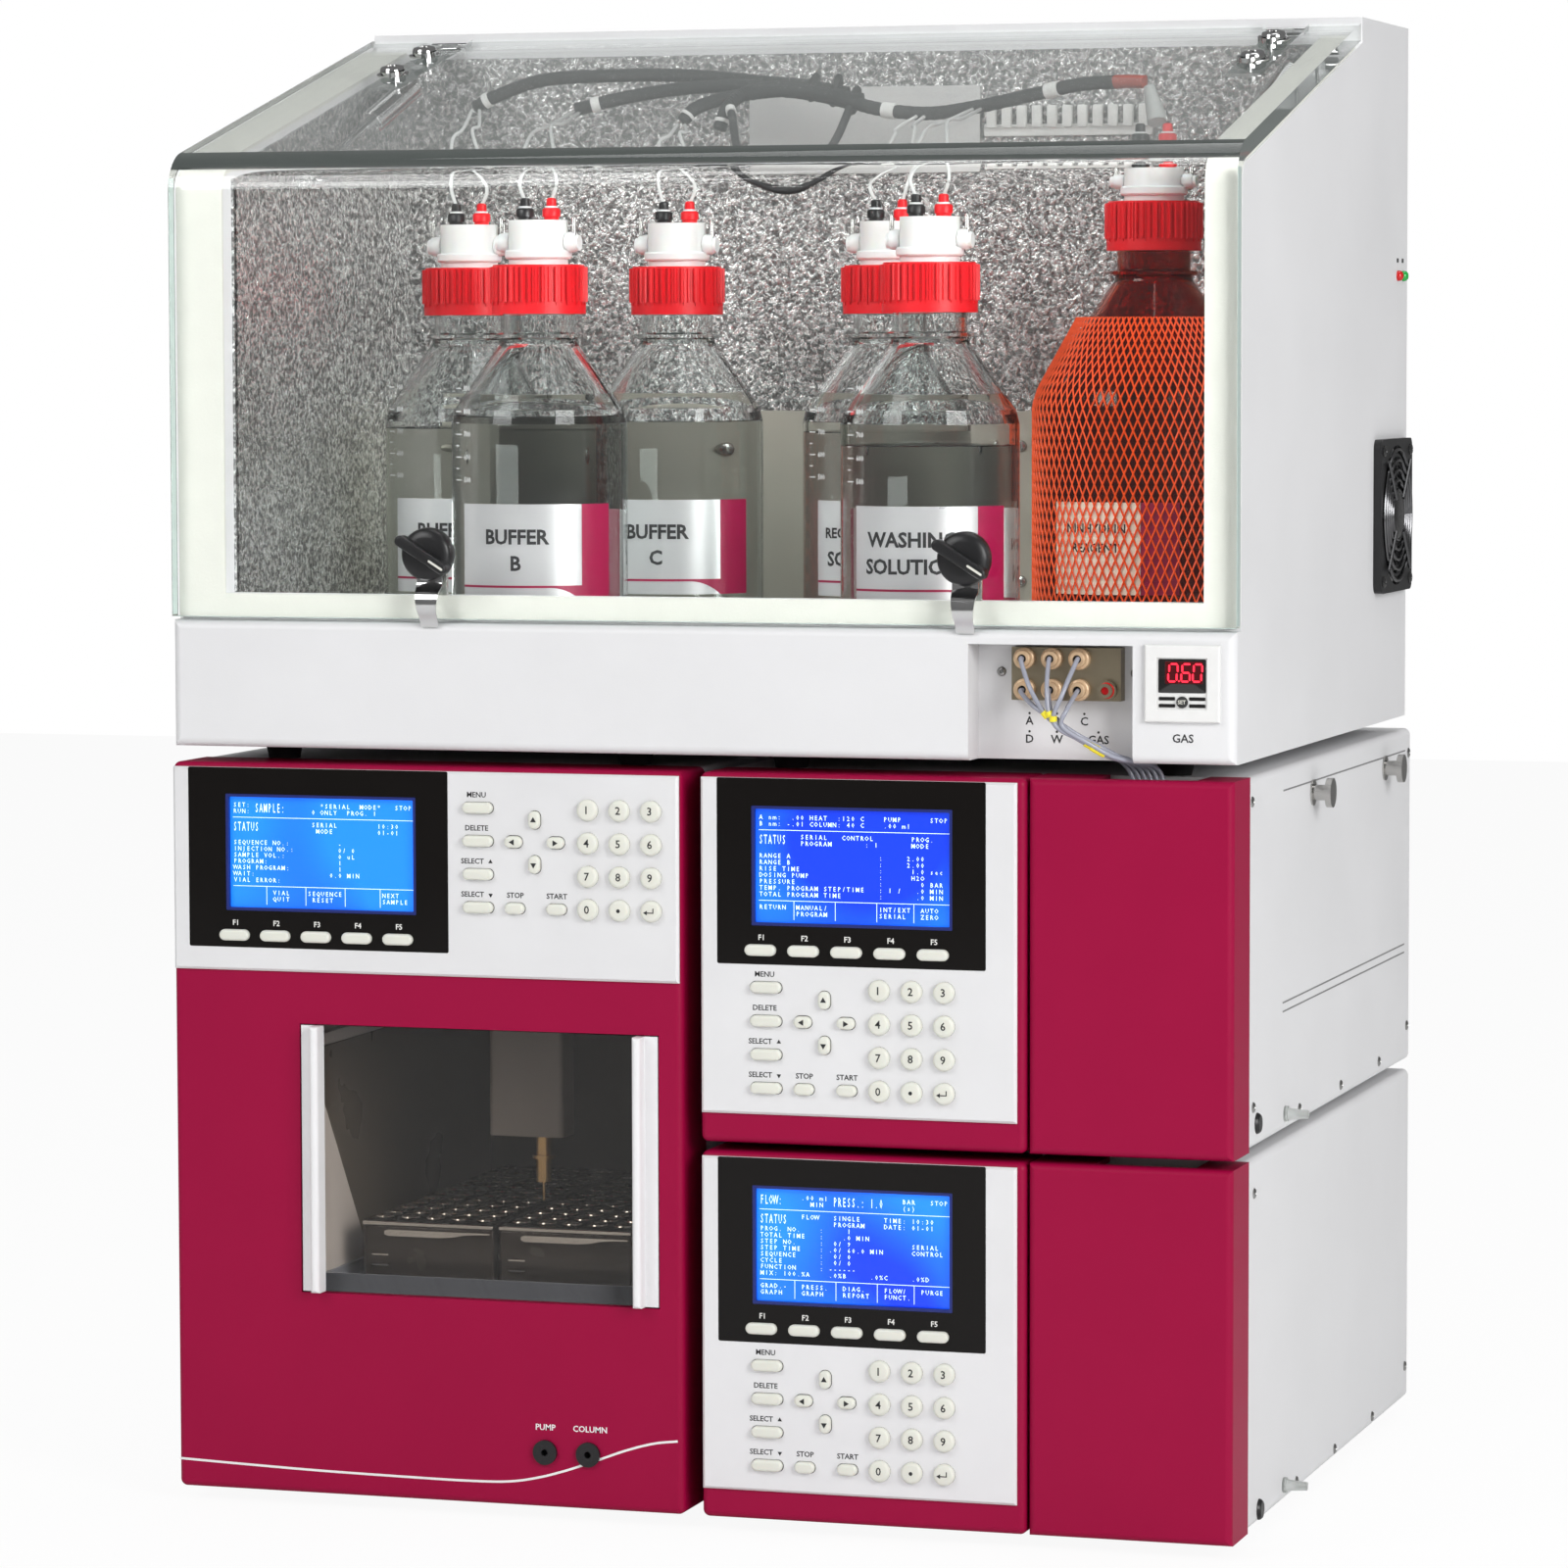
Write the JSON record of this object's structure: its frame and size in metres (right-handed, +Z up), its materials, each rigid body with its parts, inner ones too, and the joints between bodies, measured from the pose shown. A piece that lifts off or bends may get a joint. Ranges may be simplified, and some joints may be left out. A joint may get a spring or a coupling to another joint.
{
  "type": "amino acid analyzer",
  "caption": "Bench analyzer: sample injector and stacked modules with red fronts under a cooled reagent cabinet with a clear hinged hood over glass bottles.",
  "frame": {"origin": "on the bench, under the centre of the whole stack's bounding box", "axes": "X to the right seen from the front, Y from the front to the back, Z up"},
  "size_m": [0.633, 0.5006, 0.853],
  "materials": {
    "amber_glass": "amber laboratory glass",
    "black_plastic": "fine grained black",
    "bright_steel": "brushed",
    "bronze": "dull bronze block",
    "chromed": "bright chrome",
    "clear_glass": "clear laboratory glass",
    "clear_plastic": "clear polished sheet",
    "dark_steel": "dark satin",
    "display": "blue liquid crystal display",
    "drawer_metal": "blue grey paint",
    "foil": "embossed foil",
    "frosted": "milky nozzle",
    "grey_sheet": "fine satin light grey powder coat",
    "keys": "off-white keys on a soft mat",
    "lamp": "coloured lens",
    "panel_silver": "silver white satin with a bright bevel",
    "red_cap": "ribbed red plastic",
    "red_cover": "satin raspberry red paint",
    "rubber": "moulded black rubber",
    "seal": "soft white foam",
    "white_plastic": "white fluoropolymer",
    "white_sheet": "white satin paint"
  },
  "bodies": {
    "stack": {"amber_bottle": "amber_glass", "bottle_caps": "red_cap", "bottle_front_left": "clear_glass", "bottle_front_right": "clear_glass", "bottle_heads": "white_plastic", "bottle_rear_left": "clear_glass", "bottle_rear_middle": "clear_glass", "bottle_rear_right": "clear_glass", "cabinet_housing": "grey_sheet", "cabinet_lining": "foil", "cold_plate": "bright_steel", "drain_nozzles": "frosted", "fan_guard": "dark_steel", "gas_manifold": "bronze", "hanger_posts": "bright_steel", "hinge_brackets": "chromed", "hood_seal": "seal", "injector_case": "grey_sheet", "injector_fascia": "red_cover", "injector_keypad": "keys", "injector_lcd": "display", "injector_panel": "panel_silver", "pressure_meter": "black_plastic", "pump_case": "grey_sheet", "pump_fascia": "red_cover", "pump_heads": "bright_steel", "pump_keypad": "keys", "pump_lcd": "display", "pump_panel": "panel_silver", "reaction_case": "grey_sheet", "reaction_column": "bright_steel", "reaction_fascia": "red_cover", "reaction_keypad": "keys", "reaction_lcd": "display", "reaction_panel": "panel_silver", "rubber_feet": "rubber", "status_lamps": "lamp", "tube_ports": "black_plastic"},
    "sample_drawer": {"drawer_pane": "clear_plastic", "drawer_side_left": "white_sheet", "drawer_side_right": "white_sheet", "drawer_tray": "drawer_metal", "vial_rack_left": "dark_steel", "vial_rack_right": "dark_steel"},
    "needle_beam": {"needle_beam": "bright_steel"},
    "needle_carriage": {"needle_carriage": "grey_sheet"},
    "sample_needle": {"sample_needle": "bright_steel"},
    "hood": {"hood": "clear_plastic", "hinge_arms": "chromed"},
    "latch_left": {"latch_left": "black_plastic"},
    "latch_right": {"latch_right": "black_plastic"},
    "spring_rods": {"spring_rods": "chromed"},
    "spring_sleeves": {"spring_sleeves": "dark_steel"},
    "reaction_door": {"reaction_door": "red_cover"},
    "pump_door": {"pump_door": "red_cover"},
    "fan_rotor": {"fan_rotor": "black_plastic"},
    "meter_set_key": {"meter_set_key": "white_plastic"}
  },
  "joints": [
    {"name": "drawer_slide", "type": "slide", "parent": "stack", "child": "sample_drawer", "axis": [0, -1, 0], "range_m": [0, 0.2]},
    {"name": "beam_travel", "type": "slide", "parent": "stack", "child": "needle_beam", "axis": [0, 1, 0], "range_m": [-0.038, 0.171]},
    {"name": "carriage_travel", "type": "slide", "parent": "needle_beam", "child": "needle_carriage", "axis": [1, 0, 0], "range_m": [-0.083, 0.0615]},
    {"name": "needle_travel", "type": "slide", "parent": "needle_carriage", "child": "sample_needle", "axis": [0, 0, 1], "range_m": [-0.005, 0]},
    {"name": "hood_hinge", "type": "hinge", "parent": "stack", "child": "hood", "pos_m": [-0.001, 0.08425, 0.84405], "axis": [-1, 0, 0], "range_deg": [0, 70]},
    {"name": "spring_swing", "type": "hinge", "parent": "stack", "child": "spring_rods", "pos_m": [-0.001, -0.10575, 0.761], "axis": [1, 0, 0], "range_deg": [0, 12.68]},
    {"name": "spring_stretch", "type": "slide", "parent": "spring_rods", "child": "spring_sleeves", "axis": [0, 0.9458, 0.3248], "range_m": [0, 0.00919]},
    {"name": "latch_left_turn", "type": "hinge", "parent": "hood", "child": "latch_left", "pos_m": [-0.1585, -0.23375, 0.5456], "axis": [0, 1, 0], "range_deg": [0, 90]},
    {"name": "latch_right_turn", "type": "hinge", "parent": "hood", "child": "latch_right", "pos_m": [0.1535, -0.23375, 0.5456], "axis": [0, 1, 0], "range_deg": [0, 90]},
    {"name": "reaction_door_hinge", "type": "hinge", "parent": "stack", "child": "reaction_door", "pos_m": [0.1934, -0.22825, 0.32275], "axis": [0, 0, -1], "range_deg": [0, 90]},
    {"name": "pump_door_hinge", "type": "hinge", "parent": "stack", "child": "pump_door", "pos_m": [0.1934, -0.22825, 0.11125], "axis": [0, 0, -1], "range_deg": [0, 90]},
    {"name": "fan_spin", "type": "hinge", "parent": "stack", "child": "fan_rotor", "pos_m": [0.291, 0.17425, 0.559], "axis": [1, 0, 0], "continuous": true},
    {"name": "set_key_press", "type": "slide", "parent": "stack", "child": "meter_set_key", "axis": [0, 1, 0], "range_m": [0, 0.0008], "stiffness_N_per_m": 400}
  ],
  "couplings": [
    {"joint": "spring_swing", "follows": "hood_hinge", "ratio": 0.18037},
    {"joint": "spring_stretch", "follows": "hood_hinge", "m_per_rad": 0.007481}
  ]
}
